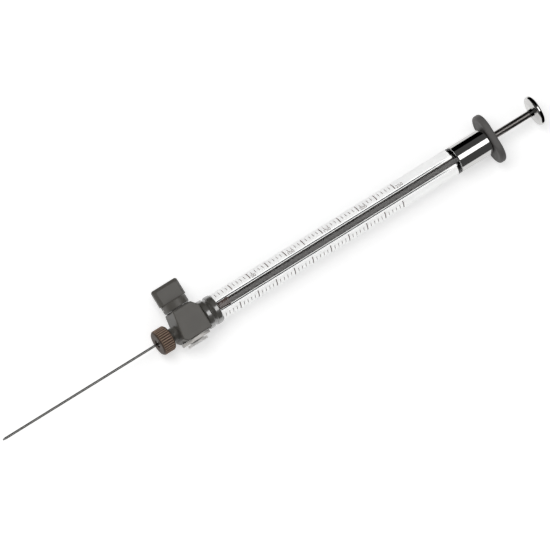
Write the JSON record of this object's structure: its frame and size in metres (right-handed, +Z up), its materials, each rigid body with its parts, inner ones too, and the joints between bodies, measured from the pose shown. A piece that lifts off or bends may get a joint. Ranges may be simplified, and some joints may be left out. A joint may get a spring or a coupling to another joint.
{
  "type": "microsyringe",
  "caption": "Gas-tight microsyringe: graduated glass barrel, sliding plunger, rotary on/off valve and removable needle held by a knurled nut.",
  "frame": {"origin": "on the barrel's axis, where the needle leaves the front face of its nut", "axes": "+X along the barrel from the needle to the plunger button, +Y to the valve knob, +Z up as it lies"},
  "size_m": [0.1769, 0.0202, 0.009],
  "materials": {
    "needle_steel": "drawn stainless steel, satin",
    "rod_steel": "ground stainless steel, bright",
    "nut_bronze": "brown bronzed brass, knurled",
    "valve_grey": "mid grey moulded plastic, satin",
    "collar_grey": "dark grey turned plastic, glossy",
    "flange_grey": "dark grey moulded plastic, matte",
    "white_seal": "white fluoropolymer, waxy",
    "tip_polymer": "brown-grey filled fluoropolymer",
    "seal_rubber": "black elastomer",
    "bright_steel": "bright stainless steel",
    "polished_chrome": "polished chrome plate",
    "clear_glass": "clear borosilicate, precision bore"
  },
  "bodies": {
    "barrel": {"valve_body": "valve_grey", "needle_seal": "white_seal", "thrust_washer": "flange_grey", "barrel_seat": "white_seal", "barrel_collar": "collar_grey", "glass_barrel": "clear_glass", "barrel_cap": "polished_chrome", "plunger_guide": "white_seal", "finger_flange": "flange_grey"},
    "plug": {"valve_plug": "white_seal", "plug_ring_low": "seal_rubber", "plug_ring_high": "seal_rubber", "valve_knob": "valve_grey", "knob_pin": "bright_steel", "plug_washer": "white_seal", "spring_washer": "bright_steel", "plug_screw": "bright_steel"},
    "needle": {"needle": "needle_steel", "needle_ferrule": "needle_steel"},
    "nut": {"needle_nut": "nut_bronze"},
    "plunger": {"plunger_tip": "tip_polymer", "plunger_rod": "rod_steel", "plunger_button": "polished_chrome"}
  },
  "joints": [
    {"name": "plunger_slide", "type": "slide", "parent": "barrel", "child": "plunger", "axis": [1, 0, 0], "range_m": [0, 0.06]},
    {"name": "valve_turn", "type": "hinge", "parent": "barrel", "child": "plug", "pos_m": [0.01005, 0, 0], "axis": [0, 1, 0], "range_deg": [0, 90]},
    {"name": "needle_slide", "type": "slide", "parent": "barrel", "child": "needle", "axis": [-1, 0, 0], "range_m": [0, 0.002]},
    {"name": "nut_turn", "type": "hinge", "parent": "needle", "child": "nut", "pos_m": [0, 0, 0], "axis": [-1, 0, 0], "range_deg": [0, 1440]}
  ],
  "couplings": [
    {"joint": "nut_turn", "follows": "needle_slide", "rad_per_m": 12566}
  ]
}
